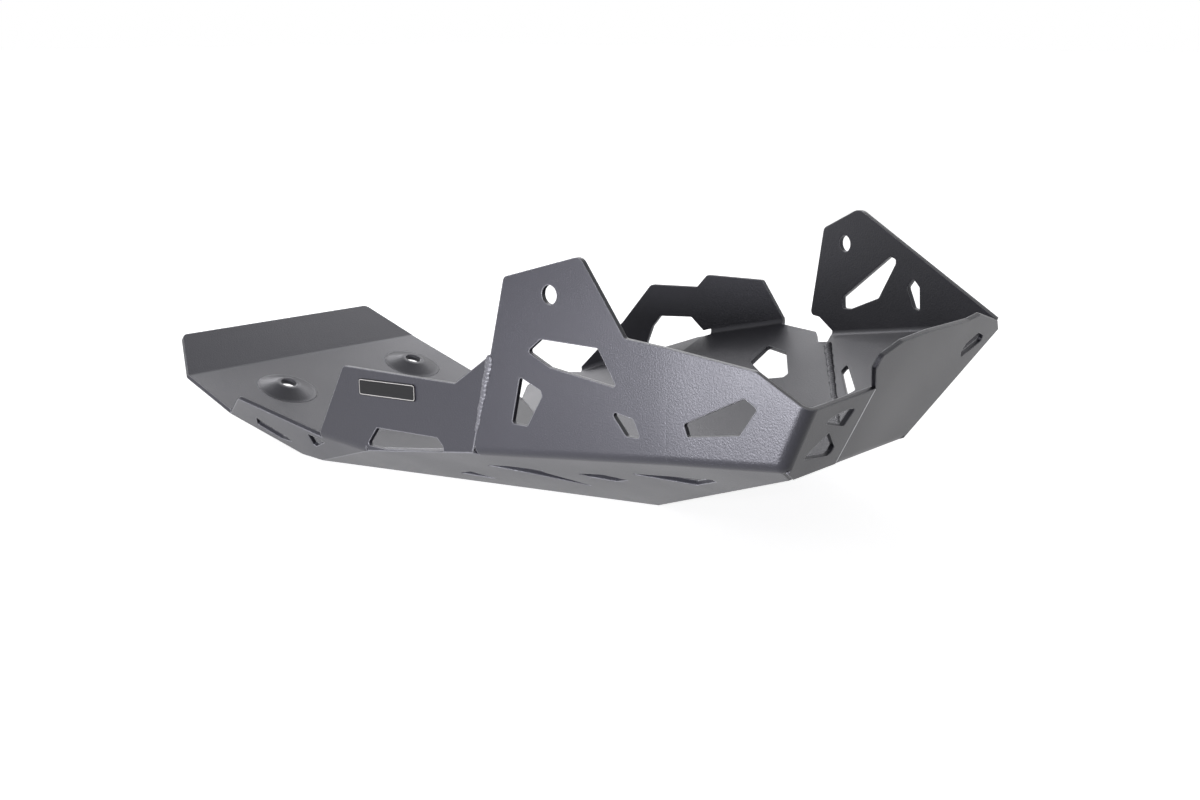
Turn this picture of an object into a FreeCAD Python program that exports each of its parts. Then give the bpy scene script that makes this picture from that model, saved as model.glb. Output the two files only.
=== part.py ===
import FreeCAD, Part
import math
import os
import Sketcher

from FreeCAD import Vector

# Motorbike engine guard, cut and folded from sheet and welded into a bowl.
# X points to the nose, Y to the left side and Z up. The origin is the centre of the
# right ear's bolt hole, on the outer face of that ear.

doc = FreeCAD.newDocument("engine_guard")
sheet = doc.addObject("Spreadsheet::Sheet", "sizes")

# Driving sizes in millimetres and degrees
# An angle is the compass of a panel's outer face seen from above: 0 faces the nose, 90 the left.
# A slope is the panel's slope from level, so that an upright wall has 90.
# A back is a distance towards the tail from the right ear's bolt hole, a depth one below it,
# and a lift one above the floor's underside.
SIZES = {
    "plate_gauge": 3,
    "bend_inside": 4,
    "corner_gap": 3,
    "slot_corner": 1.5,
    "drawing_step": 1,
    "floor_depth": 142,
    "floor_back": 268,
    "nose_back": 1.5,
    "middle_line": 150,
    "tail_right_width": 107,
    "tail_length": 120.5,
    "tail_slope": 19,
    "lip_length": 38,
    "lip_slope": 40,
    "ramp_angle": 1.4,
    "ramp_slope": 21,
    "front_angle": 7,
    "front_slope": 66.8,
    "right_wall_angle": -90,
    "right_crease": 84,
    "right_toe_angle": 2.5,
    "right_nose_length": 89,
    "right_nose_depth": 43,
    "right_chamfer_angle": -76.5,
    "right_chamfer_slope": 27,
    "right_chamfer_lift": 49,
    "right_seam_back": 46,
    "right_seam_depth": 39,
    "rear_wall_angle": -95,
    "rear_wall_slope": 91.3,
    "right_flare_angle": -96.5,
    "right_flare_slope": 48.8,
    "ear_hole": 11,
    "left_ear_span": 285,
    "left_ear_ahead": 9.6,
    "left_ear_lift": 2.6,
    "left_ear_angle": 72.9,
    "left_ear_foot_lift": 81.9,
    "left_front_angle": 58.4,
    "left_front_slope": 35.1,
    "left_kink_back": 117.8,
    "left_wall_beyond_ear": 21.2,
    "left_kink_lift": 65,
    "left_wall_angle": 96.2,
    "left_chamfer_angle": 68.8,
    "left_chamfer_slope": 26,
    "left_flare_angle": 52.8,
    "left_flare_slope": 27.7,
    "boss_across": 39,
    "boss_top": 17,
    "boss_height": 4,
    "boss_hole": 11,
    "boss_up": 78.6,
    "boss_spread": 124.5,
    "boss_offset": 4,
    "bead_head": 5.2,
    "bead_foot": 2,
    "badge_length": 56,
    "badge_width": 10.5,
    "badge_gauge": 0.8,
    "badge_corner": 2,
    "badge_slope": 3.9,
}
for row, (name, value) in enumerate(SIZES.items(), start=1):
    sheet.set(f"A{row}", name)
    sheet.set(f"B{row}", str(value))
    sheet.setAlias(f"B{row}", name)
doc.recompute()

gauge = sheet.plate_gauge
roll = sheet.bend_inside + gauge
step = sheet.drawing_step


class Panel:
    """A flat stretch of plate, placed by its outer face."""

    def __init__(self, angle, slope, base):
        angle = math.radians(angle)
        slope = math.radians(slope)
        level = math.sin(slope)
        self.out = Vector(level * math.cos(angle), level * math.sin(angle), -math.cos(slope))
        self.along = Vector(-math.sin(angle), math.cos(angle), 0)
        self.up = self.out.cross(self.along)
        self.base = base

    def at(self, along, up):
        """The point of the outer face so many drawing steps along it and up its slope."""
        return self.base + self.along * (along * step) + self.up * (up * step)


def nearest(guide, one, two):
    """The point that the outer faces of two panels share, nearest to a guide point."""
    slant = one.out.dot(two.out)
    first = (one.base - guide).dot(one.out)
    second = (two.base - guide).dot(two.out)
    spread = 1 - slant * slant
    move = one.out * ((first - slant * second) / spread)
    return guide + move + two.out * ((second - slant * first) / spread)


def corner(one, two, three):
    """The point that three outer faces share."""
    total = two.out.cross(three.out) * one.base.dot(one.out)
    total += three.out.cross(one.out) * two.base.dot(two.out)
    total += one.out.cross(two.out) * three.base.dot(three.out)
    return total * (1 / one.out.dot(two.out.cross(three.out)))


def eased(point, other, gap=None):
    """A corner moved along its edge towards the next one, to leave room for the bends."""
    gap = sheet.corner_gap if gap is None else gap
    return point + (other - point).normalize() * gap


def fold_angle(one, two):
    """The angle that the plate turns through between two panels, in radians."""
    return one.out.getAngle(two.out)


def into(one, two):
    """The way into panel one, square to its fold with panel two."""
    way = one.out.cross(one.out.cross(two.out)).normalize()
    return way if way.dot(two.out) < 0 else way * -1


def setback(one, two):
    """How far from the sharp fold the rolled bend of two panels begins."""
    return roll * math.tan(fold_angle(one, two) / 2)


def pulled(point, one, two):
    """A point of the sharp fold, moved into panel one to where its bend begins."""
    return point + into(one, two) * setback(one, two)


def pulled_twice(point, one, two, three):
    """The corner of panel one from which its bends to panels two and three both begin."""
    share = into(one, two).dot(into(one, three))
    spread = 1 - share * share
    first = (setback(one, two) - share * setback(one, three)) / spread
    second = (setback(one, three) - share * setback(one, two)) / spread
    return point + into(one, two) * first + into(one, three) * second


def outline_face(points):
    """A flat face through points, each a vector or a vector with the radius of its corner."""
    points = [point if isinstance(point, tuple) else (point, 0) for point in points]
    ends = []
    edges = []
    for place, (point, radius) in enumerate(points):
        if radius == 0:
            ends.append((point, point))
            continue
        before = points[place - 1][0] - point
        after = points[(place + 1) % len(points)][0] - point
        half = before.getAngle(after) / 2
        cut = min(radius / math.tan(half), 0.45 * before.Length, 0.45 * after.Length)
        before.normalize()
        after.normalize()
        middle = (before + after).normalize()
        true_radius = cut * math.tan(half)
        crown = point + middle * (true_radius / math.sin(half) - true_radius)
        edges.append(Part.Arc(point + before * cut, crown, point + after * cut).toShape())
        ends.append((point + before * cut, point + after * cut))
    for place, (first, last) in enumerate(ends):
        edges.append(Part.makeLine(ends[place - 1][1], first))
    return Part.Face(Part.Wire(Part.__sortEdges__(edges)))


def plate(panel, points):
    """The flat plate behind an outline on its outer face."""
    return outline_face(points).extrude(panel.out * -gauge)


def bend(one, two, start, end):
    """The rolled strip that joins two panels, between two points of their sharp fold."""
    first = pulled(start, one, two)
    last = pulled(end, one, two)
    inner = one.out * -gauge
    strip = Part.Face(Part.makePolygon([first, last, last + inner, first + inner, first]))
    centre = first - one.out * roll
    return strip.revolve(centre, one.out.cross(two.out), math.degrees(fold_angle(one, two)))


def rounded_corner(centre, panels):
    """The rolled shell that joins three bends where they meet, about the centre of their rolls."""
    shell = Part.makeSphere(roll, centre).cut(Part.makeSphere(sheet.bend_inside, centre))
    tips = [centre + panel.out * (4 * roll) for panel in panels]
    faces = []
    for ends in ([centre] + tips[:2], [centre] + tips[1:], [centre, tips[0], tips[2]], tips):
        faces.append(Part.Face(Part.makePolygon(ends + ends[:1])))
    return shell.common(Part.makeSolid(Part.makeShell(faces)))


def valley(one, two, start, end):
    """The strip that closes a shallow fold of two panels whose outer faces lean towards each other."""
    ends = [start, start - one.out * gauge, start - two.out * gauge, start]
    return Part.Face(Part.makePolygon(ends)).extrude(end - start)


def mitred(shape, one, two, start, end):
    """Panel one cut back to the plane halfway to panel two, along the edge they share."""
    deep = 1.5 * gauge
    half = (one.out + two.out).normalize() * (-deep / math.cos(fold_angle(one, two) / 2))
    outer = one.out * -deep - into(one, two) * gauge
    wedge = Part.Face(Part.makePolygon([start, start + outer, start + half, start]))
    return shape.cut(wedge.extrude(end - start))


def opened(shape, panel, outlines):
    """A shape with openings cut through one panel, their corners rounded by the cutting beam."""
    outside = panel.out * gauge
    for outline in outlines:
        points = [(panel.at(*point) + outside, sheet.slot_corner) for point in outline]
        shape = shape.cut(outline_face(points).extrude(outside * -3))
    return shape


def drilled(shape, panel, along, up, across):
    """A shape with a round hole through one panel."""
    start = panel.at(along, up) + panel.out * gauge
    return shape.cut(Part.makeCylinder(across / 2, 3 * gauge, start, panel.out * -1))


def behind(panel, depth):
    """All that lies deeper than a depth under a panel's outer face."""
    width = 3 * sheet.floor_back
    start = panel.base - panel.out * depth
    ends = [(-width, -width), (width, -width), (width, width), (-width, width)]
    corners = [start + panel.along * along + panel.up * up for along, up in ends]
    return outline_face(corners).extrude(panel.out * (-2 * width))


def add_sheet(name, shape, welded_to=()):
    """One folded sheet, cut back where it would run into the sheets that it is welded to."""
    for neighbour in welded_to:
        shape = shape.cut(neighbour.Shape)
    shape = max(shape.Solids, key=lambda solid: solid.Volume)
    piece = doc.addObject("Part::Feature", name)
    piece.Label = name
    piece.Shape = shape
    piece.Placement = FreeCAD.Placement()
    return piece


# Panels of the centre plate, from the tail's lip to the front plate
tail_foot = Vector(-sheet.floor_back, sheet.middle_line, -sheet.floor_depth)
nose_foot = Vector(-sheet.nose_back, sheet.middle_line, -sheet.floor_depth)
floor = Panel(180, 0, tail_foot)
tail = Panel(180, sheet.tail_slope, tail_foot)
lip = Panel(180, sheet.lip_slope, tail_foot + tail.up * sheet.tail_length)
ramp = Panel(sheet.ramp_angle, sheet.ramp_slope, nose_foot)

# Panels of the right side
right_wall = Panel(sheet.right_wall_angle, 90, Vector(0, 0, 0))
crease_place = right_wall.along * sheet.right_crease
right_nose = Panel(sheet.right_wall_angle + sheet.right_toe_angle, 90, crease_place)
nose_head = crease_place + right_nose.along * sheet.right_nose_length
nose_head -= Vector(0, 0, sheet.right_nose_depth)
front = Panel(sheet.front_angle, sheet.front_slope, nose_head)
chamfer_place = Vector(0, 0, sheet.right_chamfer_lift - sheet.floor_depth)
right_chamfer = Panel(sheet.right_chamfer_angle, sheet.right_chamfer_slope, chamfer_place)
seam_head = Vector(-sheet.right_seam_back, 0, -sheet.right_seam_depth)
rear_wall = Panel(sheet.rear_wall_angle, sheet.rear_wall_slope, seam_head)
flare_foot = tail_foot - Vector(0, sheet.tail_right_width, 0)
right_flare = Panel(sheet.right_flare_angle, sheet.right_flare_slope, flare_foot)

# Panels of the left side
ear_place = Vector(sheet.left_ear_ahead, sheet.left_ear_span, sheet.left_ear_lift)
ear_inside = Panel(sheet.left_ear_angle, 90, ear_place)
left_ear = Panel(sheet.left_ear_angle, 90, ear_place + ear_inside.out * gauge)
ear_fold = Vector(left_ear.base)
ear_fold.z = sheet.left_ear_foot_lift - sheet.floor_depth
left_front = Panel(sheet.left_front_angle, sheet.left_front_slope, ear_fold)
wall_span = sheet.left_ear_span + sheet.left_wall_beyond_ear
wall_kink = Vector(-sheet.left_kink_back, wall_span, sheet.left_kink_lift - sheet.floor_depth)
left_wall = Panel(sheet.left_wall_angle, 90, wall_kink)
left_chamfer = Panel(sheet.left_chamfer_angle, sheet.left_chamfer_slope, wall_kink)
left_flare = Panel(sheet.left_flare_angle, sheet.left_flare_slope, wall_kink)

# Corners that the outer faces share
tail_right = corner(floor, tail, right_flare)
tail_left = corner(floor, tail, left_flare)
floor_right = corner(floor, right_chamfer, right_flare)
floor_left = corner(floor, left_chamfer, left_flare)
nose_right = corner(floor, ramp, right_chamfer)
nose_left = corner(floor, ramp, left_chamfer)
ramp_left = corner(ramp, left_chamfer, left_front)
front_right = corner(ramp, front, right_chamfer)
front_left = corner(ramp, front, left_front)
front_peak = corner(front, left_front, left_ear)
nose_corner = corner(right_nose, right_chamfer, front)
crease_low = corner(right_wall, right_nose, right_chamfer)
seam_low = corner(rear_wall, right_wall, right_chamfer)
flare_nose = corner(rear_wall, right_flare, right_chamfer)
nose_roll = pulled_twice(nose_corner, right_nose, right_chamfer, front) - right_nose.out * roll

# Places along the shared edges
flare_heel = nearest(tail.at(119, 66), tail, right_flare)
flare_top = nearest(rear_wall.at(-168, -71), rear_wall, right_flare)
tab_top = front.at(77, -1)
tab_foot = nearest(front.at(67.5, -43.5), front, ramp)
ear_foot = nearest(left_ear.at(10.5, -62.5), left_ear, left_front)
left_seam_head = nearest(left_front.at(5, -14.5), left_front, left_chamfer)
wall_front = nearest(left_wall.at(-62.5, 13), left_wall, left_chamfer)
wall_rear = nearest(left_wall.at(112.5, -40), left_wall, left_flare)
wall_cut = nearest(left_wall.at(56, -20), left_wall, left_flare)


def boss_side(lift):
    """The swept side of a boss, from its flat top down to the plate, as two arcs."""
    width = (sheet.boss_across - sheet.boss_top) / 2
    height = sheet.boss_height
    radius = (width ** 2 + height ** 2) / (4 * height)
    sweep = math.asin(width / 2 / radius) / 2
    reach = radius * math.sin(sweep)
    sag = radius - radius * math.cos(sweep)
    top = Vector(sheet.boss_top / 2, 0, height + lift)
    foot = Vector(sheet.boss_across / 2, 0, lift)
    middle = (top + foot) * 0.5
    upper = Part.Arc(top, top + Vector(reach, 0, -sag), middle)
    lower = Part.Arc(middle, foot + Vector(-reach, 0, sag), foot)
    return [upper.toShape(), lower.toShape()]


def bossed(shape, panel, along):
    """A shape with a boss pressed inwards round a bolt hole, where its plate was flat."""
    hole = Vector(sheet.boss_hole / 2, 0, sheet.boss_height)
    top = Vector(sheet.boss_top / 2, 0, sheet.boss_height)
    foot = Vector(sheet.boss_across / 2, 0, 0)
    skin = Vector(0, 0, gauge)
    edges = boss_side(0) + boss_side(gauge)
    edges.append(Part.makeLine(hole, top))
    edges.append(Part.makeLine(hole + skin, top + skin))
    edges.append(Part.makeLine(hole, hole + skin))
    edges.append(Part.makeLine(foot, foot + skin))
    profile = Part.Face(Part.Wire(Part.__sortEdges__(edges)))
    pressing = profile.revolve(Vector(0, 0, 0), Vector(0, 0, 1), 360)
    place = panel.base + panel.along * along + panel.up * sheet.boss_up
    inward = FreeCAD.Rotation(Vector(0, 0, 1), panel.out * -1)
    pressing.Placement = FreeCAD.Placement(place, inward)
    start = place + panel.out * gauge
    blank = Part.makeCylinder(sheet.boss_across / 2, 3 * gauge, start, panel.out * -1)
    return shape.cut(blank).fuse(pressing)


def tail_sheet():
    """The tail with its lip, as flat plates and the bend between them."""
    lip_top = sheet.lip_length / step
    fold = sheet.tail_length / step
    lip_right = tail.at(116, fold)
    lip_left = tail.at(-104, fold)
    lip_plate = plate(lip, [
        pulled(lip_right, lip, tail),
        (lip.at(98.5, lip_top), 6),
        (lip.at(-81, lip_top), 6),
        pulled(lip_left, lip, tail),
    ])
    tail_plate = plate(tail, [
        pulled(lip_right, tail, lip),
        pulled(lip_left, tail, lip),
        tail.at(-107.7, 54),
        tail_left,
        pulled(eased(tail_left, tail_right), tail, floor),
        pulled(eased(tail_right, tail_left), tail, floor),
        tail_right,
        flare_heel,
    ])
    tail_plate = mitred(tail_plate, tail, right_flare, tail_right, flare_heel)
    for side in (-0.5, 0.5):
        along = side * sheet.boss_spread - sheet.boss_offset
        tail_plate = bossed(tail_plate, tail, along)
    return [lip_plate, bend(lip, tail, lip_right, lip_left), tail_plate]


def floor_sheet():
    """The level floor, which lies on the ground."""
    shape = plate(floor, [
        tail_right,
        pulled(eased(tail_right, tail_left), floor, tail),
        pulled(eased(tail_left, tail_right), floor, tail),
        tail_left,
        floor_left,
        nose_left,
        pulled(eased(nose_left, nose_right), floor, ramp),
        pulled(eased(nose_right, nose_left), floor, ramp),
        nose_right,
        floor_right,
    ])
    shape = mitred(shape, floor, right_flare, tail_right, floor_right)
    shape = mitred(shape, floor, right_chamfer, floor_right, nose_right)
    shape = mitred(shape, floor, left_flare, tail_left, floor_left)
    return mitred(shape, floor, left_chamfer, floor_left, nose_left)


def ramp_sheet():
    """The ramp from the floor to the front plate, cut back behind the right side's tab."""
    shape = plate(ramp, [
        nose_right,
        pulled(eased(nose_right, nose_left), ramp, floor),
        pulled(eased(nose_left, nose_right), ramp, floor),
        nose_left,
        ramp_left,
        front_left,
        pulled(eased(front_left, tab_foot), ramp, front),
        pulled(eased(tab_foot, front_left), ramp, front),
        tab_foot,
        front_right,
    ])
    shape = mitred(shape, ramp, right_chamfer, nose_right, front_right)
    shape = mitred(shape, ramp, left_chamfer, nose_left, ramp_left)
    shape = mitred(shape, ramp, left_front, ramp_left, front_left)
    return shape.cut(tab_room())


def tab_room():
    """The room that the right side's front tab takes in front of the ramp and chamfer."""
    below = front.up * (-10 * step)
    ahead = front.along * (-30 * step)
    return plate(front, [
        tab_foot - below,
        tab_foot + below,
        tab_foot + below + ahead * 4,
        tab_foot - below + ahead * 4,
    ])


def front_sheet():
    """The front plate, which stands on the ramp and covers the left side's edge."""
    shape = plate(front, [
        tab_foot,
        pulled(eased(tab_foot, front_left), front, ramp),
        pulled(eased(front_left, tab_foot), front, ramp),
        front_left,
        front_peak,
        (front.at(234, 16), 3),
        (front.at(197, 26), 4),
        (front.at(181, 24.5), 4),
        (front.at(122, 27), 4),
        (front.at(87, 26.5), 6),
        (front.at(66, 21), 3),
        (front.at(64.5, 13.5), 2),
        tab_top,
    ])
    vent = [(208, 12), (219, 8.5), (221, 4.5), (206, 0), (196, -2.5), (192, 1.5), (194.5, 7)]
    return opened(shape, front, [vent])


def centre_plate():
    """Lip, tail, floor, ramp and front plate, folded from one sheet."""
    pieces = tail_sheet() + [floor_sheet(), ramp_sheet(), front_sheet()]
    pieces.append(bend(tail, floor, eased(tail_right, tail_left), eased(tail_left, tail_right)))
    pieces.append(bend(floor, ramp, eased(nose_right, nose_left), eased(nose_left, nose_right)))
    pieces.append(bend(ramp, front, eased(tab_foot, front_left), eased(front_left, tab_foot)))
    return pieces[0].fuse(pieces[1:]).removeSplitter()


def right_ear_sheet():
    """The upright wall round the right ear, with its bolt hole and three openings."""
    shape = plate(right_wall, [
        seam_head,
        (right_wall.at(-35, 7), 4),
        (right_wall.at(22.5, 23.5), 6),
        (right_wall.at(54.5, -18.5), 3),
        right_wall.at(sheet.right_crease / step, -20.3),
        pulled(crease_low, right_wall, right_chamfer),
        pulled(eased(seam_low, crease_low), right_wall, right_chamfer),
        seam_low,
    ])
    shape = mitred(shape, right_wall, rear_wall, seam_low, seam_head)
    shape = opened(shape, right_wall, [
        [(-17, -34), (-7, -25.9), (35.4, -26), (40.3, -33), (49.5, -46.5), (0, -41.2)],
        [(-23, -49.5), (-7, -55.4), (-6, -58.5), (-17.5, -77.5), (-29.5, -77.5)],
        [(44.5, -59.7), (60.7, -61.8), (66, -72.2), (56, -72.2)],
    ])
    return drilled(shape, right_wall, 0, 0, sheet.ear_hole)


def right_nose_sheet():
    """The wall's toed-in nose, which carries the front tab."""
    shape = plate(right_nose, [
        right_nose.at(0, -20.3),
        (right_nose.at(55.5, -26), 4),
        pulled(nose_head, right_nose, front),
        nose_roll + right_nose.out * roll,
        pulled(crease_low, right_nose, right_chamfer),
    ])
    vent = [(11, -59.8), (49, -41), (57, -45.5), (46.5, -61), (13.7, -66.5)]
    return opened(shape, right_nose, [vent])


def right_chamfer_sheet():
    """The sloping plate between the right wall and the floor, with its four openings."""
    shape = plate(right_chamfer, [
        floor_right,
        nose_right,
        front_right,
        nearest(nose_roll, right_chamfer, front),
        nose_roll + right_chamfer.out * roll,
        pulled(crease_low, right_chamfer, right_wall),
        pulled(eased(seam_low, crease_low), right_chamfer, right_wall),
        seam_low,
        flare_nose,
    ])
    shape = mitred(shape, right_chamfer, floor, floor_right, nose_right)
    shape = mitred(shape, right_chamfer, ramp, nose_right, front_right)
    shape = mitred(shape, right_chamfer, right_flare, floor_right, flare_nose)
    shape = mitred(shape, right_chamfer, rear_wall, flare_nose, seam_low)
    shape = opened(shape, right_chamfer, [
        [(-108.5, -86.6), (-94, -76.4), (-81.5, -92)],
        [(-70, -48), (-48, -42.6), (-27.5, -42), (-26.5, -49), (-1.7, -75.2), (-42, -57.5)],
        [(-1, -38), (19, -31.5), (33, -39), (20.4, -48), (4.7, -44)],
        [(39, -18.5), (78, -9.8), (97, -6), (98.5, -11), (80, -28)],
    ])
    return shape.cut(tab_room())


def front_tab_sheet():
    """The tab turned in from the right nose, level with the front plate."""
    shape = plate(front, [
        pulled(nose_head, front, right_nose),
        tab_top,
        tab_foot,
        (front_right, 3),
        nearest(nose_roll, right_chamfer, front),
        nose_roll + front.out * roll,
    ])
    return opened(shape, front, [
        [(24, -11.7), (36.5, -9), (52, -8.4), (60.5, -10), (54.5, -19.5), (51, -19)],
        [(37.4, -20), (54.5, -32.7), (53.5, -36), (49.5, -37.3), (18.5, -32.4), (20, -29.7)],
    ])


def right_front_side():
    """Ear, nose, chamfer and front tab of the right side, folded from one sheet."""
    low_end = nearest(nose_roll, right_nose, right_chamfer)
    tab_end = nearest(nose_roll, right_nose, front)
    return right_ear_sheet().fuse([
        right_nose_sheet(),
        right_chamfer_sheet(),
        front_tab_sheet(),
        bend(right_wall, right_chamfer, eased(seam_low, crease_low), crease_low),
        bend(right_nose, right_chamfer, crease_low, low_end),
        bend(right_nose, front, nose_head, tab_end),
        rounded_corner(nose_roll, [right_nose, right_chamfer, front]),
    ]).removeSplitter()


def right_rear_side():
    """Rear wall and tail flare of the right side, folded from one sheet."""
    flare_end = eased(flare_nose, flare_top)
    wall = plate(rear_wall, [
        seam_head,
        (rear_wall.at(-6, -4.5), 4),
        (rear_wall.at(-32, -22), 4),
        (rear_wall.at(-142.5, -26.5), 4),
        pulled(flare_top, rear_wall, right_flare),
        pulled(flare_end, rear_wall, right_flare),
        flare_nose,
        seam_low,
    ])
    wall = mitred(wall, rear_wall, right_wall, seam_low, seam_head)
    wall = mitred(wall, rear_wall, right_chamfer, flare_nose, seam_low)
    wall = opened(wall, rear_wall, [
        [(-108, -61.3), (-48.5, -57.7), (-43, -62), (-42, -65.3), (-99.6, -73.4), (-118, -73.8)],
    ])
    flare = plate(right_flare, [
        flare_nose,
        pulled(flare_end, right_flare, rear_wall),
        pulled(flare_top, right_flare, rear_wall),
        (right_flare.at(-23, 53.5), 5),
        flare_heel,
        tail_right,
        floor_right,
    ])
    flare = mitred(flare, right_flare, tail, tail_right, flare_heel)
    flare = mitred(flare, right_flare, floor, tail_right, floor_right)
    flare = mitred(flare, right_flare, right_chamfer, floor_right, flare_nose)
    flare = opened(flare, right_flare, [
        [(-21.7, 34), (0, 19.6), (2, 13.6), (-12, 14), (-30, 24.7)],
        [(38.6, 32.6), (55.5, 28), (31.4, 16.4)],
    ])
    return wall.fuse([flare, bend(rear_wall, right_flare, flare_top, flare_end)]).removeSplitter()


def left_rear_side():
    """Left wall, its chamfer and the tail flare, folded from one sheet."""
    kink_front = eased(wall_kink, wall_front)
    kink_low = eased(wall_kink, floor_left, roll)
    kink_rear = eased(wall_kink, wall_rear, roll)
    wall = plate(left_wall, [
        pulled(wall_front, left_wall, left_chamfer),
        pulled(kink_front, left_wall, left_chamfer),
        pulled(kink_rear, left_wall, left_flare),
        pulled(wall_rear, left_wall, left_flare),
        (left_wall.at(75.5, 3), 4),
        (left_wall.at(50.5, 33.5), 5),
        (left_wall.at(10.5, 35), 3),
        (left_wall.at(2, 44.5), 3),
        (left_wall.at(-44, 44.5), 3),
    ])
    wall = opened(wall, left_wall, [
        [(42, 10.7), (15, 12.4), (3.3, 2.3), (3.3, -8), (54, -28), (54, -11), (49, 2)],
    ])
    chamfer = plate(left_chamfer, [
        pulled(kink_front, left_chamfer, left_wall),
        pulled(wall_front, left_chamfer, left_wall),
        left_chamfer.at(-60, 28),
        (left_chamfer.at(-98, 29), 3),
        (left_chamfer.at(-112, 19.5), 3),
        left_seam_head,
        ramp_left,
        nose_left,
        floor_left,
        kink_low,
    ])
    chamfer = mitred(chamfer, left_chamfer, left_front, left_seam_head, ramp_left)
    chamfer = mitred(chamfer, left_chamfer, ramp, nose_left, ramp_left)
    chamfer = mitred(chamfer, left_chamfer, floor, nose_left, floor_left)
    chamfer = opened(chamfer, left_chamfer, [
        [(-80.5, -18), (-74, 2.7), (-98, 1.7), (-126.5, -18), (-127, -22.5), (-115, -28.5)],
    ])
    flare = plate(left_flare, [
        kink_low,
        pulled(kink_rear, left_flare, left_wall),
        pulled(wall_rear, left_flare, left_wall),
        (left_flare.at(102, -99.4), 4),
        (left_flare.at(126, -128), 4),
        tail_left,
        floor_left,
    ])
    flare = mitred(flare, left_flare, floor, tail_left, floor_left)
    return wall.fuse([
        chamfer,
        flare,
        bend(left_wall, left_chamfer, wall_front, kink_front),
        bend(left_wall, left_flare, wall_cut, wall_rear),
        valley(left_chamfer, left_flare, floor_left, kink_low),
    ]).removeSplitter()


def left_front_side():
    """The left ear and the sloping plate below it, folded from one sheet."""
    ear_end = eased(front_peak, ear_foot, -20 * step)
    ramp_end = eased(front_left, ramp_left, -20 * step)
    ear = plate(left_ear, [
        pulled(ear_foot, left_ear, left_front),
        (left_ear.at(25, -53.2), 3),
        (left_ear.at(34.5, -52.8), 3),
        (left_ear.at(22.4, 8.5), 5),
        (left_ear.at(-13, 24.6), 12),
        left_ear.at(-162, -39),
        pulled(front_peak, left_ear, left_front),
    ])
    ear = opened(ear, left_ear, [
        [(1, -36.7), (-45.5, -3.6), (-51, -5), (-51, -8), (-35.5, -32.4), (-8, -43.3), (0.5, -44)],
        [(-68.2, -15.4), (-74.4, -20.4), (-75.4, -35.5), (-69.2, -34.3), (-62.7, -22)],
    ])
    ear = drilled(ear, left_ear, 0, 0, sheet.ear_hole)
    slope = plate(left_front, [
        left_seam_head,
        pulled(ear_foot, left_front, left_ear),
        pulled(ear_end, left_front, left_ear),
        ramp_end,
        ramp_left,
    ])
    slope = mitred(slope, left_front, left_chamfer, left_seam_head, ramp_left)
    slope = mitred(slope, left_front, ramp, ramp_left, ramp_end)
    slope = opened(slope, left_front, [
        [(-47.7, -29), (-45, -23), (-50, -24.5), (-84, -38), (-81, -43.5)],
    ])
    side = ear.fuse([slope, bend(left_ear, left_front, ear_foot, ear_end)])
    return side.common(behind(front, gauge)).removeSplitter()


def add_seam_weld(name, head, foot, sheets):
    """A weld bead that tapers along a seam, less the sheets that it lies on."""
    bead = doc.addObject("Part::Cone", name + "_rod")
    bead.setExpression("Radius1", "sizes.bead_head / 2")
    bead.setExpression("Radius2", "sizes.bead_foot / 2")
    bead.Height = (foot - head).Length
    bead.Placement = FreeCAD.Placement(head, FreeCAD.Rotation(Vector(0, 0, 1), foot - head))
    for place, sheet_piece in enumerate(sheets):
        cut = doc.addObject("Part::Cut", f"{name}_{place}")
        cut.Base = bead
        cut.Tool = sheet_piece
        bead = cut
    bead.Label = name
    return bead


def add_badge():
    """The blank badge on the rear wall, a thin plate with rounded corners."""
    body = doc.addObject("PartDesign::Body", "badge_plate")
    body.Label = "badge_plate"
    level = next(plane for plane in body.Origin.OriginFeatures if plane.Role == "XY_Plane")
    sketch = body.newObject("Sketcher::SketchObject", "badge_outline")
    sketch.AttachmentSupport = [(level, "")]
    sketch.MapMode = "FlatFace"
    ends = [Vector(0, 0, 0), Vector(40, 0, 0), Vector(40, 10, 0), Vector(0, 10, 0)]
    for place in range(4):
        sketch.addGeometry(Part.LineSegment(ends[place], ends[(place + 1) % 4]), False)
    for place in range(4):
        sketch.addConstraint(Sketcher.Constraint("Coincident", place, 2, (place + 1) % 4, 1))
    for place in (0, 2):
        sketch.addConstraint(Sketcher.Constraint("Horizontal", place))
        sketch.addConstraint(Sketcher.Constraint("Vertical", place + 1))
    sketch.addConstraint(Sketcher.Constraint("Symmetric", 0, 1, 2, 1, -1, 1))
    length = sketch.addConstraint(Sketcher.Constraint("DistanceX", 0, 1, 0, 2, 40))
    width = sketch.addConstraint(Sketcher.Constraint("DistanceY", 1, 1, 1, 2, 10))
    sketch.setExpression(f"Constraints[{length}]", "sizes.badge_length")
    sketch.setExpression(f"Constraints[{width}]", "sizes.badge_width")
    pad = body.newObject("PartDesign::Pad", "badge_pad")
    pad.Profile = sketch
    pad.setExpression("Length", "sizes.badge_gauge")
    doc.recompute()
    upright = []
    for place, edge in enumerate(pad.Shape.Edges, start=1):
        if abs(edge.tangentAt(edge.FirstParameter).z) > 0.9:
            upright.append(f"Edge{place}")
    rounding = body.newObject("PartDesign::Fillet", "badge_corners")
    rounding.Base = (pad, upright)
    rounding.setExpression("Radius", "sizes.badge_corner")
    facing = FreeCAD.Rotation(rear_wall.along, rear_wall.up, rear_wall.out, "XYZ")
    slope = FreeCAD.Rotation(Vector(0, 0, 1), sheet.badge_slope)
    body.Placement = FreeCAD.Placement(rear_wall.at(-97, -35.4), facing * slope)
    return body


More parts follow.
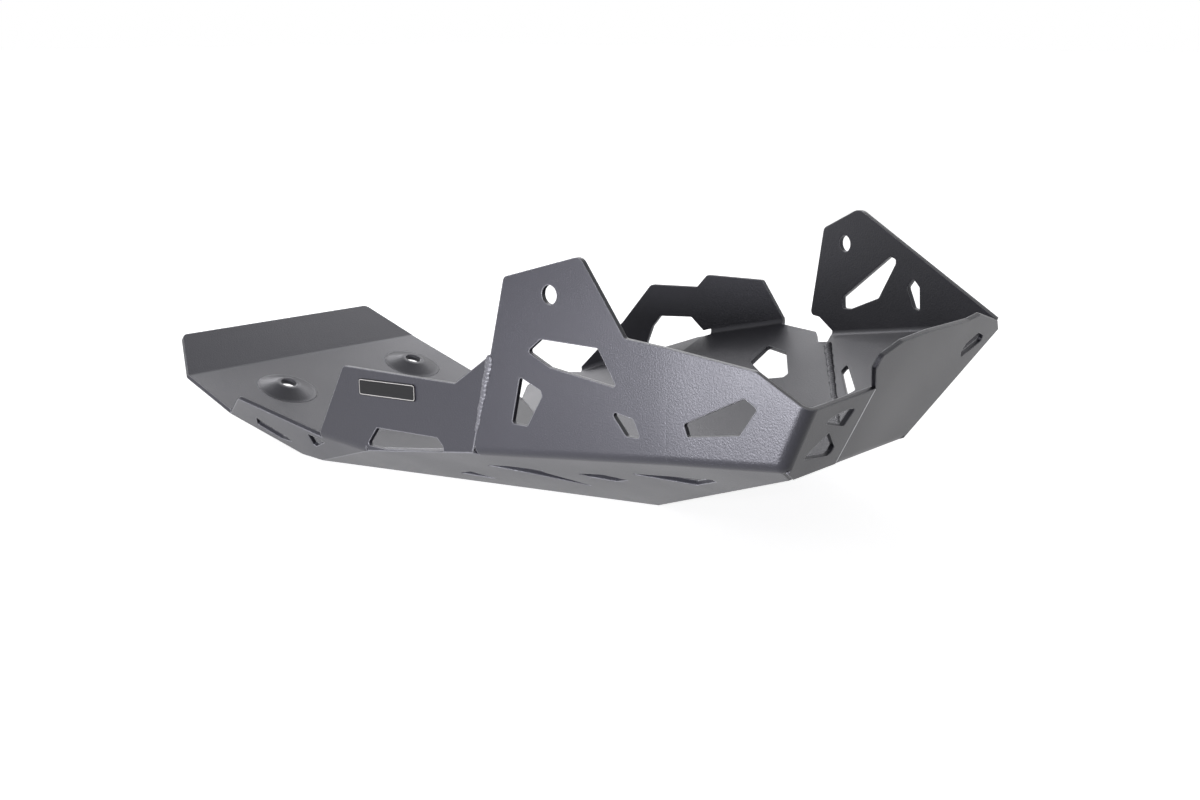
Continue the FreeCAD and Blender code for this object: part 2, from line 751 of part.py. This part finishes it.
centre = add_sheet("centre_plate", centre_plate())
right_front = add_sheet("right_front_side", right_front_side(), [centre])
right_rear = add_sheet("right_rear_side", right_rear_side(), [centre, right_front])
left_rear = add_sheet("left_rear_side", left_rear_side(), [centre])
left_front_piece = add_sheet("left_front_side", left_front_side(), [centre, left_rear])
right_bead = add_seam_weld(
    "right_seam_weld",
    eased(seam_head, seam_low, sheet.bead_head / 2),
    eased(seam_low, seam_head, roll),
    [right_front, right_rear],
)
inside = (left_chamfer.out + left_front.out).normalize() * -gauge
left_bead = add_seam_weld(
    "left_seam_weld",
    eased(left_seam_head, ramp_left, sheet.bead_head / 2) + inside,
    eased(ramp_left, left_seam_head, roll) + inside,
    [left_rear, left_front_piece],
)
badge = add_badge()
doc.recompute()

pieces = [centre, right_front, right_rear, left_rear, left_front_piece]
pieces += [right_bead, left_bead, badge]
for item in doc.Objects:
    if "Invalid" in item.State or "Error" in item.State:
        raise RuntimeError(f"{item.Label} did not build")
for piece in pieces:
    if piece.Shape.isNull() or not piece.Shape.isValid():
        raise RuntimeError(f"{piece.Label} is not a sound solid")

os.makedirs("parts", exist_ok=True)
for piece in pieces:
    piece.Shape.exportStep(f"parts/{piece.Label}.step")
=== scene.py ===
import math

import bmesh
import bpy
from mathutils import Matrix, Vector


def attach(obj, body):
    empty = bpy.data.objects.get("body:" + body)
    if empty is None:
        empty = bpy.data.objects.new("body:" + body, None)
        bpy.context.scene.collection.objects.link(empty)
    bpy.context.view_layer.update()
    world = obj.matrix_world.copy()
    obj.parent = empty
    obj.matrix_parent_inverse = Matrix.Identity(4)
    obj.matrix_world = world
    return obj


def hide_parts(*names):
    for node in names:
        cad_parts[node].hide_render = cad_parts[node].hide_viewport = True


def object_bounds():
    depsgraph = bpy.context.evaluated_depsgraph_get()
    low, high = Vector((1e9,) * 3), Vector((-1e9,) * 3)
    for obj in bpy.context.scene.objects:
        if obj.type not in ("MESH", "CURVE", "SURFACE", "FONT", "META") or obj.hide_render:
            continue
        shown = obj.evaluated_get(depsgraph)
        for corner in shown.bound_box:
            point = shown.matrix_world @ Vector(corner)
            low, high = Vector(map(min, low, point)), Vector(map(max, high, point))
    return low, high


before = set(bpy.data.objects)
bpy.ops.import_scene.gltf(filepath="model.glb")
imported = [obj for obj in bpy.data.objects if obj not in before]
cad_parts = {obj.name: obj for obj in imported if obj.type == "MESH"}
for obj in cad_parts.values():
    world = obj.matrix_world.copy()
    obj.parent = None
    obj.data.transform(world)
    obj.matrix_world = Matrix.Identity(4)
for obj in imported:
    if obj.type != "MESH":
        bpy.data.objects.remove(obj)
cad_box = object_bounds()


# The folded sheets
# Five aluminium sheets are cut by a beam, folded, and welded into one open bowl.
# A black powder coat, sprayed on after welding, has a fine orange-peel grain and a satin sheen,
# and its film is thinner over sharp edges, where a paler colour is painted on as a highlight.
SHEETS = ("centre_plate", "right_front_side", "right_rear_side", "left_rear_side", "left_front_side")
CREASED_SHEET = "right_front_side"
COAT_COLOUR = (0.022, 0.022, 0.028, 1)
# The paler colour painted over sharp edges: a painted highlight.
COAT_EDGE_HIGHLIGHT_COLOUR = (0.24, 0.24, 0.26, 1)
COAT_SHEEN = 0.45
COAT_SHEEN_TINT = (0.92, 0.92, 1, 1)
COAT_ROUGHNESS = 0.37
COAT_GRAIN_FINENESS = 950
COAT_GRAIN_DEPTH = 0.00012
GRAIN_DETAIL = 2
FILM_PATCH_FINENESS = 14
FILM_PATCH_DETAIL = 3
FILM_PATCH_RANGE = (0.3, 0.7)
FILM_ROUGHNESS_CHANGE = 0.03
EDGE_RADIUS = 0.0012
EDGE_RAYS = 6
EDGE_STARTS = 0.985  # cosines of how far the rounded edge turns from the flat face
EDGE_FULL = 0.86
NOSE_CREASE = 0.084
NOSE_CREASE_REACH = 0.02
NOSE_TOE_IN = 2.5
WALL_LEAN_MOST = 0.5  # the upright part of a face's direction, past which the crease isn't shaded
WALL_LEAN_LEAST = 0.15


def new_material(name):
    """A material that holds only a Principled BSDF, with its tree and that shader."""
    material = bpy.data.materials.new(name)
    material.use_nodes = True
    tree = material.node_tree
    tree.nodes.clear()
    shader = tree.nodes.new("ShaderNodeBsdfPrincipled")
    output = tree.nodes.new("ShaderNodeOutputMaterial")
    tree.links.new(shader.outputs["BSDF"], output.inputs["Surface"])
    return material, tree, shader


def add_step(tree, kind, operation, *values):
    """A Math or Vector Math node that takes numbers, directions and other nodes' outputs."""
    step = tree.nodes.new(kind)
    step.operation = operation
    for value, socket in zip(values, step.inputs):
        if isinstance(value, bpy.types.NodeSocket):
            tree.links.new(value, socket)
        else:
            socket.default_value = value
    return step


def add_math(tree, operation, *values):
    """The number that one sum gives."""
    return add_step(tree, "ShaderNodeMath", operation, *values).outputs["Value"]


def add_range(tree, value, start, end):
    """How far a value has come from start to end, from 0 to 1."""
    span = tree.nodes.new("ShaderNodeMapRange")
    span.inputs["From Min"].default_value = start
    span.inputs["From Max"].default_value = end
    tree.links.new(value, span.inputs["Value"])
    return span


def add_tint(tree, mask, plain, marked):
    """A colour that goes from plain to marked with a mask."""
    tint = tree.nodes.new("ShaderNodeMix")
    tint.data_type = "RGBA"
    tint.inputs["A"].default_value = plain
    tint.inputs["B"].default_value = marked
    tree.links.new(mask, tint.inputs["Factor"])
    return tint.outputs["Result"]


def powder_grain_group():
    """Fine grain over slow changes of film: puts out a roughness, a mask of the edges for the painted
    edge highlight, and a normal.
    """
    group = bpy.data.node_groups.new("powder_grain", "ShaderNodeTree")
    for name in ("Grain Fineness", "Grain Depth", "Roughness"):
        group.interface.new_socket(name, in_out="INPUT", socket_type="NodeSocketFloat")
    for name, kind in (("Roughness", "Float"), ("Edge", "Float"), ("Normal", "Vector")):
        group.interface.new_socket(name, in_out="OUTPUT", socket_type="NodeSocket" + kind)
    add = group.nodes.new
    link = group.links.new
    given = add("NodeGroupInput")
    put_out = add("NodeGroupOutput")
    place = add("ShaderNodeTexCoord")

    grain = add("ShaderNodeTexNoise")
    grain.inputs["Detail"].default_value = GRAIN_DETAIL
    link(place.outputs["Object"], grain.inputs["Vector"])
    link(given.outputs["Grain Fineness"], grain.inputs["Scale"])
    rounded = add("ShaderNodeBevel")
    rounded.samples = EDGE_RAYS
    rounded.inputs["Radius"].default_value = EDGE_RADIUS
    bump = add("ShaderNodeBump")
    link(grain.outputs["Fac"], bump.inputs["Height"])
    link(given.outputs["Grain Depth"], bump.inputs["Distance"])
    link(rounded.outputs["Normal"], bump.inputs["Normal"])
    link(bump.outputs["Normal"], put_out.inputs["Normal"])

    film = add("ShaderNodeTexNoise")
    film.inputs["Scale"].default_value = FILM_PATCH_FINENESS
    film.inputs["Detail"].default_value = FILM_PATCH_DETAIL
    link(place.outputs["Object"], film.inputs["Vector"])
    change = add_range(group, film.outputs["Fac"], *FILM_PATCH_RANGE)
    change.inputs["To Min"].default_value = -FILM_ROUGHNESS_CHANGE
    change.inputs["To Max"].default_value = FILM_ROUGHNESS_CHANGE
    rough = add_math(group, "ADD", given.outputs["Roughness"], change.outputs["Result"])
    link(rough, put_out.inputs["Roughness"])

    surface = add("ShaderNodeNewGeometry")
    flat = surface.outputs["True Normal"]
    turn = add_step(group, "ShaderNodeVectorMath", "DOT_PRODUCT", rounded.outputs["Normal"], flat)
    # The mask of the sharp edges, where the painted highlight goes.
    edge = add_range(group, turn.outputs["Value"], EDGE_STARTS, EDGE_FULL)
    link(edge.outputs["Result"], put_out.inputs["Edge"])
    return group


powder_grain = powder_grain_group()


def add_powder_grain(tree, fineness, depth, roughness):
    """The powder grain, with a material's own values."""
    grain = tree.nodes.new("ShaderNodeGroup")
    grain.node_tree = powder_grain
    grain.inputs["Grain Fineness"].default_value = fineness
    grain.inputs["Grain Depth"].default_value = depth
    grain.inputs["Roughness"].default_value = roughness
    return grain.outputs


def soft_crease_group():
    """Turns an upright wall's normals about Z, little by little across the nose's crease."""
    group = bpy.data.node_groups.new("soft_crease", "ShaderNodeTree")
    group.interface.new_socket("Normal", in_out="INPUT", socket_type="NodeSocketVector")
    group.interface.new_socket("Normal", in_out="OUTPUT", socket_type="NodeSocketVector")
    add = group.nodes.new
    link = group.links.new
    given = add("NodeGroupInput")
    put_out = add("NodeGroupOutput")

    place = add("ShaderNodeTexCoord")
    parts = add("ShaderNodeSeparateXYZ")
    link(place.outputs["Object"], parts.inputs["Vector"])
    ahead = parts.outputs["X"]
    across = add_range(group, ahead, NOSE_CREASE - NOSE_CREASE_REACH, NOSE_CREASE + NOSE_CREASE_REACH)
    across.interpolation_type = "SMOOTHSTEP"
    beyond = add_math(group, "GREATER_THAN", ahead, NOSE_CREASE)
    part = add_math(group, "SUBTRACT", across.outputs["Result"], beyond)
    angle = add_math(group, "MULTIPLY", part, math.radians(NOSE_TOE_IN))

    surface = add("ShaderNodeNewGeometry")
    lean = add("ShaderNodeSeparateXYZ")
    link(surface.outputs["True Normal"], lean.inputs["Vector"])
    leaning = add_math(group, "ABSOLUTE", lean.outputs["Z"])
    upright = add_range(group, leaning, WALL_LEAN_MOST, WALL_LEAN_LEAST)

    turn = add("ShaderNodeVectorRotate")
    turn.rotation_type = "Z_AXIS"
    link(given.outputs["Normal"], turn.inputs["Vector"])
    link(add_math(group, "MULTIPLY", angle, upright.outputs["Result"]), turn.inputs["Angle"])
    link(turn.outputs["Vector"], put_out.inputs["Normal"])
    return group


def powder_coat(name, colour, has_nose_crease=False):
    """The satin black coat, with a painted highlight over its sharp edges. Over the nose's crease it
    is shaded as the gentle roll of a wide die.
    """
    material, tree, shader = new_material(name)
    grain = add_powder_grain(tree, COAT_GRAIN_FINENESS, COAT_GRAIN_DEPTH, COAT_ROUGHNESS)
    # Sharp edges are tinted paler: a painted highlight.
    tint = add_tint(tree, grain["Edge"], colour, COAT_EDGE_HIGHLIGHT_COLOUR)
    normal = grain["Normal"]
    if has_nose_crease:
        rolled = tree.nodes.new("ShaderNodeGroup")
        rolled.node_tree = soft_crease_group()
        tree.links.new(normal, rolled.inputs["Normal"])
        normal = rolled.outputs["Normal"]
    tree.links.new(tint, shader.inputs["Base Color"])
    tree.links.new(grain["Roughness"], shader.inputs["Roughness"])
    tree.links.new(normal, shader.inputs["Normal"])
    shader.inputs["Specular IOR Level"].default_value = COAT_SHEEN
    shader.inputs["Specular Tint"].default_value = COAT_SHEEN_TINT
    return material


def finish_node(name, material):
    """One finish over the whole of a CAD piece."""
    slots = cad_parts[name].data.materials
    slots.clear()
    slots.append(material)


coat = powder_coat("black_coat", COAT_COLOUR)
creased_coat = powder_coat("black_coat_creased", COAT_COLOUR, has_nose_crease=True)
for name in SHEETS:
    finish_node(name, creased_coat if name == CREASED_SHEET else coat)


# The weld beads
# Each bead is a row of overlapping scales of filler, laid down the seam between two sheets.
# It narrows from its wide, rough head to its foot, and wanders a little from the line of the seam.
# The scales bow away from the head. The bead is painted paler than the sheets, and paler still over
# the crests: a painted highlight.
RIGHT_BEAD_ENDS = ((-0.04620, 0, -0.03980), (-0.05850, 0, -0.08700))
RIGHT_BEAD_OUT = (0.02, -1, 0.02)
RIGHT_BEAD_RADII = (0.0027, 0.0012)
RIGHT_BEAD_HEIGHT = 0.32
RIGHT_BEAD_SEED = 0.4
LEFT_BEAD_ENDS = ((0.00260, 0.27796, -0.06528), (0.08724, 0.16508, -0.10168))
LEFT_BEAD_OUT = (-0.23, -0.45, 0.86)
LEFT_BEAD_RADII = (0.0028, 0.0013)
LEFT_BEAD_HEIGHT = 0.6
LEFT_BEAD_SEED = 2.1
# Paler than the sheets' coat: a painted highlight on the bead.
BEAD_PAINTED_PALE_COLOUR = (0.075, 0.075, 0.085, 1)
BEAD_RINGS_PER_MM = 3
BEAD_SIDES = 28
BEAD_END_LEAST = 0.02
SCALE_STEP = 0.0027
SCALE_BOW = 0.0011
SCALE_RISE = 0.3
SCALE_CREST = 0.5
SCALE_MIDDLE = 0.6
SCALE_WIDENING = 1 / 3
LONG_SWAY = 410  # radians a metre, as the other sways and the lumps are
SHORT_SWAY = 1130
SHORT_SWAY_SHARE = 0.6
SHORT_SWAY_LAG = 2.3
SCALE_SWAY = 0.00016
BEAD_WANDER = 0.0002
BEAD_LUMPS = 700
BEAD_UNEVEN = 0.08


def add_piece(name, mesh, material):
    """A smooth coated piece from a finished mesh, which rides on the guard."""
    for face in mesh.faces:
        face.smooth = True
    data = bpy.data.meshes.new(name)
    mesh.to_mesh(data)
    mesh.free()
    piece = bpy.data.objects.new(name, data)
    bpy.context.collection.objects.link(piece)
    data.materials.append(material)
    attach(piece, "root")
    return piece


def bead_radius(along, length, head_radius, foot_radius):
    """The bead's half width some way along it, rounded off at both ends."""
    part = min(max(along / length, 0), 1)
    radius = head_radius + (foot_radius - head_radius) * part
    nearer = min(along, length - along)
    if nearer < radius:
        radius *= math.sqrt(max(1 - (1 - nearer / radius) ** 2, BEAD_END_LEAST ** 2))
    return radius


def add_bead(name, ends, outward, radii, height, seed):
    """A rippled bead along a seam. Its height is a share of its half width."""
    head = Vector(ends[0])
    line = Vector(ends[1]) - head
    length = line.length
    line.normalize()
    side = line.cross(Vector(outward)).normalized()
    outward = side.cross(line)
    mesh = bmesh.new()
    bmesh.ops.create_cone(mesh, cap_ends=True, segments=BEAD_SIDES, radius1=1, radius2=1, depth=1)
    lengthwise = [edge for edge in mesh.edges if edge.verts[0].co.z * edge.verts[1].co.z < 0]
    rings = int(length * 1000 * BEAD_RINGS_PER_MM)
    bmesh.ops.subdivide_edges(mesh, edges=lengthwise, cuts=rings)
    for vert in mesh.verts:
        along = (vert.co.z + 0.5) * length
        angle = math.atan2(vert.co.y, vert.co.x)
        short_sway = math.sin(along * SHORT_SWAY + seed * SHORT_SWAY_LAG)
        sway = math.sin(along * LONG_SWAY + seed) + SHORT_SWAY_SHARE * short_sway
        bowed = along + SCALE_BOW * (1 - math.cos(angle)) + SCALE_SWAY * sway
        phase = (bowed / SCALE_STEP) % 1
        lift = SCALE_RISE * (math.sin(math.pi * phase ** SCALE_CREST) - SCALE_MIDDLE)
        lumps = BEAD_UNEVEN * math.sin(along * BEAD_LUMPS + seed + 2 * angle)
        spread = 1 + lift * SCALE_WIDENING + lumps
        way = outward * (math.cos(angle) * height * (1 + lift)) + side * math.sin(angle)
        middle = head + line * along + side * (sway * BEAD_WANDER)
        vert.co = middle + way * (bead_radius(along, length, *radii) * spread)
    return add_piece(name, mesh, painted_pale_bead_coat)


# The beads' coat, painted paler than the sheets' as a highlight.
painted_pale_bead_coat = powder_coat("black_coat_painted_pale", BEAD_PAINTED_PALE_COLOUR)
right_bead = add_bead(
    "right_bead", RIGHT_BEAD_ENDS, RIGHT_BEAD_OUT, RIGHT_BEAD_RADII, RIGHT_BEAD_HEIGHT, RIGHT_BEAD_SEED
)
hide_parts("right_seam_weld")
left_bead = add_bead(
    "left_bead", LEFT_BEAD_ENDS, LEFT_BEAD_OUT, LEFT_BEAD_RADII, LEFT_BEAD_HEIGHT, LEFT_BEAD_SEED
)
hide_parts("left_seam_weld")


# The tab's edge
# The cut edge of the front tab stands a hair proud of the front plate and catches the light.
# It is a thin rounded rib along the seam, and its pale colour is a painted highlight.
TAB_EDGE_TOP = (0.16300, 0.08016, -0.04427)
TAB_EDGE_FOOT = (0.14679, 0.06874, -0.08507)
FRONT_OUT = Vector((0.91228, 0.11201, -0.39394))
TAB_EDGE_HALF_WIDTH = 0.00045
TAB_EDGE_RISE = 0.00012
TAB_EDGE_SIDES = 12
# The rib's pale colours, mottled between them: a painted highlight.
TAB_EDGE_HIGHLIGHT_DULL = (0.5, 0.5, 0.53, 1)
TAB_EDGE_HIGHLIGHT_BRIGHT = (0.8, 0.8, 0.83, 1)
TAB_EDGE_MOTTLE = 160
TAB_EDGE_ROUGHNESS = 0.4
TAB_EDGE_METALLIC = 0.75


def tab_edge_highlight_finish():
    """A painted highlight: pale and partly metallic, a little uneven along its length."""
    material, tree, shader = new_material("cut_edge_painted_highlight")
    place = tree.nodes.new("ShaderNodeTexCoord")
    mottle = tree.nodes.new("ShaderNodeTexNoise")
    mottle.inputs["Scale"].default_value = TAB_EDGE_MOTTLE
    tree.links.new(place.outputs["Object"], mottle.inputs["Vector"])
    tint = add_tint(tree, mottle.outputs["Fac"], TAB_EDGE_HIGHLIGHT_DULL, TAB_EDGE_HIGHLIGHT_BRIGHT)
    tree.links.new(tint, shader.inputs["Base Color"])
    shader.inputs["Roughness"].default_value = TAB_EDGE_ROUGHNESS
    shader.inputs["Metallic"].default_value = TAB_EDGE_METALLIC
    return material


def add_tab_edge():
    """A closed rib of flat oval section between the two ends of the seam."""
    top = Vector(TAB_EDGE_TOP)
    line = Vector(TAB_EDGE_FOOT) - top
    side = line.cross(FRONT_OUT).normalized()
    axes = Matrix((side * TAB_EDGE_HALF_WIDTH, FRONT_OUT * TAB_EDGE_RISE, line)).transposed()
    stretch = Matrix.Translation(top + line / 2) @ axes.to_4x4()
    mesh = bmesh.new()
    bmesh.ops.create_cone(mesh, cap_ends=True, segments=TAB_EDGE_SIDES, radius1=1, radius2=1, depth=1)
    bmesh.ops.transform(mesh, matrix=stretch, verts=mesh.verts)
    bmesh.ops.recalc_face_normals(mesh, faces=mesh.faces)
    add_piece("tab_edge", mesh, tab_edge_highlight_finish())


add_tab_edge()


# The bosses' flanks
# Each bolt boss on the tail is pressed up as a low cone with a narrow flat ring round its hole.
# A thin dished cover over the plain boss gives the cone its straight flank and its soft foot.
# Its profile gives radii and heights over the tail's underside, both in millimetres.
BOSS_PLACES = ((-0.3423155, 0.09175, -0.116409), (-0.3423155, 0.21625, -0.116409))
TAIL_IN = Vector((0.32557, 0, 0.94552))
FLANK_PROFILE = (
    (5.65, 6.0), (5.65, 7.7), (5.85, 7.9), (7.6, 7.95), (8.6, 7.8), (9.4, 7.5), (19, 3.6),
    (20.2, 3.22), (21.4, 3.04), (22.4, 2.96), (21.5, 2.4), (19, 2.3), (14, 4), (9, 5.6),
)
FLANK_SEGMENTS = 72


def add_flank(name, place):
    """The profile spun once round the axis of the boss."""
    place = Vector(place)
    across = Vector((0, 1, 0))
    mesh = bmesh.new()
    verts = []
    for radius, height in FLANK_PROFILE:
        verts.append(mesh.verts.new(place + across * (radius / 1000) + TAIL_IN * (height / 1000)))
    edges = [mesh.edges.new(pair) for pair in zip(verts, verts[1:] + verts[:1])]
    bmesh.ops.spin(
        mesh, geom=verts + edges, cent=place, axis=TAIL_IN,
        angle=math.tau, steps=FLANK_SEGMENTS, use_merge=True,
    )
    bmesh.ops.recalc_face_normals(mesh, faces=mesh.faces)
    add_piece(name, mesh, coat)


for name, place in zip(("right_boss_flank", "left_boss_flank"), BOSS_PLACES):
    add_flank(name, place)


# The badge
# A thin black plate with a pale rim printed just inside its rounded edge.
# It is glued to the near rear wall, a little turned, and its field is left blank.
BADGE_MIDDLE = (-0.14270, 0.00765, -0.07439)
BADGE_ALONG = Vector((0.99619, -0.08716, 0))
BADGE_UP = Vector((0.00198, 0.0226, 0.99974))
BADGE_TURN = 3.9
BADGE_HALF = (0.028, 0.00525)
BADGE_CORNER = 0.002
RIM_INSET = 0.00045
RIM_WIDTH = 0.00045
BADGE_COLOUR = (0.006, 0.006, 0.007, 1)
RIM_COLOUR = (0.36, 0.35, 0.34, 1)
BADGE_GRAIN_FINENESS = 3000
BADGE_GRAIN_DEPTH = 0.00002
BADGE_ROUGHNESS = 0.42
BADGE_SHEEN = 0.2


def badge_rim_group():
    """A mask of the rim, from how far a point lies past the middles of the rounded corners."""
    group = bpy.data.node_groups.new("badge_rim", "ShaderNodeTree")
    group.interface.new_socket("Rim", in_out="OUTPUT", socket_type="NodeSocketFloat")
    vector_math = "ShaderNodeVectorMath"
    turn = math.radians(BADGE_TURN)
    long_way = BADGE_ALONG * math.cos(turn) + BADGE_UP * math.sin(turn)
    short_way = BADGE_UP * math.cos(turn) - BADGE_ALONG * math.sin(turn)
    place = group.nodes.new("ShaderNodeTexCoord")
    offset = add_step(group, vector_math, "SUBTRACT", place.outputs["Object"], BADGE_MIDDLE)
    beyond = group.nodes.new("ShaderNodeCombineXYZ")
    past = []
    for way, half, socket in zip((long_way, short_way), BADGE_HALF, ("X", "Y")):
        along = add_step(group, vector_math, "DOT_PRODUCT", offset.outputs["Vector"], way)
        distance = add_math(group, "ABSOLUTE", along.outputs["Value"])
        past.append(add_math(group, "SUBTRACT", distance, half - BADGE_CORNER))
        group.links.new(past[-1], beyond.inputs[socket])
    outer = add_step(group, vector_math, "MAXIMUM", beyond.outputs["Vector"])
    reach = add_step(group, vector_math, "LENGTH", outer.outputs["Vector"])
    inner = add_math(group, "MINIMUM", add_math(group, "MAXIMUM", *past), 0)
    depth = add_math(group, "ADD", reach.outputs["Value"], inner)
    rim_middle = BADGE_CORNER - RIM_INSET - RIM_WIDTH / 2
    rim = add_math(group, "COMPARE", depth, rim_middle, RIM_WIDTH / 2)
    put_out = group.nodes.new("NodeGroupOutput")
    group.links.new(rim, put_out.inputs["Rim"])
    return group


def badge_finish():
    """Smooth black with a pale rim and a faint unevenness in its sheen."""
    material, tree, shader = new_material("badge_finish")
    rim = tree.nodes.new("ShaderNodeGroup")
    rim.node_tree = badge_rim_group()
    tint = add_tint(tree, rim.outputs["Rim"], BADGE_COLOUR, RIM_COLOUR)
    grain = add_powder_grain(tree, BADGE_GRAIN_FINENESS, BADGE_GRAIN_DEPTH, BADGE_ROUGHNESS)
    tree.links.new(tint, shader.inputs["Base Color"])
    tree.links.new(grain["Roughness"], shader.inputs["Roughness"])
    tree.links.new(grain["Normal"], shader.inputs["Normal"])
    shader.inputs["Specular IOR Level"].default_value = BADGE_SHEEN
    return material


finish_node("badge_plate", badge_finish())


# The studio
# A white floor and background, a low strip beside the near wall and two soft boxes behind the tail.
# The floor and the background are white to the camera and in reflections, and keep the guard's shadow.
FLOOR_SIZE = 30
FLOOR_COLOUR = (0.8, 0.8, 0.8, 1)
FLOOR_ROUGHNESS = 0.9
FLOOR_GLOW = 0.84
WHITE = (1, 1, 1, 1)
WORLD_LIGHT = 0.16
WORLD_SEEN = 1.0
LAMP_COLOUR = (0.975, 0.97, 1)
LAMPS_FACE = Vector((-0.12, 0.15, -0.08))
LAMPS = (
    ("near_strip", (-0.051, -0.506, -0.109), (0.36, 0.1), 6.2),
    ("tail_box", (-1.2272, 0.553, 0.4694), (0.6, 0.6), 4.2),
    ("back_box", (-0.6459, 1.0608, 0.6841), (0.6, 0.6), 3),
)


def seen_directly(tree):
    """A mask for the rays that come from the camera, a reflection or a clear material."""
    path = tree.nodes.new("ShaderNodeLightPath").outputs
    mirrored = add_math(tree, "MAXIMUM", path["Is Camera Ray"], path["Is Glossy Ray"])
    return add_math(tree, "MAXIMUM", mirrored, path["Is Transmission Ray"])


def add_floor():
    """The floor under the guard, white to the camera and pale to the light."""
    bpy.ops.mesh.primitive_plane_add(size=FLOOR_SIZE, location=(0, 0, cad_box[0][2]))
    floor = bpy.context.object
    floor.name = "floor"
    material, tree, shader = new_material("floor_white")
    shader.inputs["Base Color"].default_value = FLOOR_COLOUR
    shader.inputs["Roughness"].default_value = FLOOR_ROUGHNESS
    shader.inputs["Emission Color"].default_value = WHITE
    glow = add_math(tree, "MULTIPLY", seen_directly(tree), FLOOR_GLOW)
    tree.links.new(glow, shader.inputs["Emission Strength"])
    floor.data.materials.append(material)


def add_world():
    """A white background that lights the guard less strongly than it shows."""
    world = bpy.data.worlds.new("studio")
    world.use_nodes = True
    tree = world.node_tree
    strength = add_range(tree, seen_directly(tree), 0, 1)
    strength.inputs["To Min"].default_value = WORLD_LIGHT
    strength.inputs["To Max"].default_value = WORLD_SEEN
    background = tree.nodes["Background"]
    background.inputs["Color"].default_value = WHITE
    tree.links.new(strength.outputs["Result"], background.inputs["Strength"])
    bpy.context.scene.world = world


def add_lamp(name, place, size, power):
    """A soft box, so wide and so high, that faces the middle of the guard."""
    lamp = bpy.data.lights.new(name, "AREA")
    lamp.shape = "RECTANGLE"
    lamp.size, lamp.size_y = size
    lamp.energy = power
    lamp.color = LAMP_COLOUR
    body = bpy.data.objects.new(name, lamp)
    body.location = place
    body.rotation_euler = (LAMPS_FACE - Vector(place)).to_track_quat("-Z", "Y").to_euler()
    bpy.context.collection.objects.link(body)


add_floor()
add_world()
for name, place, size, power in LAMPS:
    add_lamp(name, place, size, power)


# The camera
# It stands at the near side of the nose, a little above the bowl, as the photograph was taken.
CAMERA_PLACE = (0.65847, -0.72592, 0.14995)
CAMERA_RIGHT = Vector((0.7597, 0.6502, 0)).normalized()
CAMERA_BACK = Vector((0.6358, -0.7429, 0.2093)).normalized()
CAMERA_LENS = 53.4
CAMERA_NEAREST = 0.01


def add_camera():
    """The camera, turned by its own right, up and back directions."""
    camera = bpy.data.objects.new("camera", bpy.data.cameras.new("camera"))
    up = CAMERA_BACK.cross(CAMERA_RIGHT).normalized()
    right = up.cross(CAMERA_BACK)
    turn = Matrix((right, up, CAMERA_BACK)).transposed().to_4x4()
    camera.matrix_world = Matrix.Translation(CAMERA_PLACE) @ turn
    camera.data.lens = CAMERA_LENS
    camera.data.clip_start = CAMERA_NEAREST
    bpy.context.collection.objects.link(camera)
    bpy.context.scene.camera = camera


add_camera()
bpy.context.scene.view_settings.view_transform = "Standard"
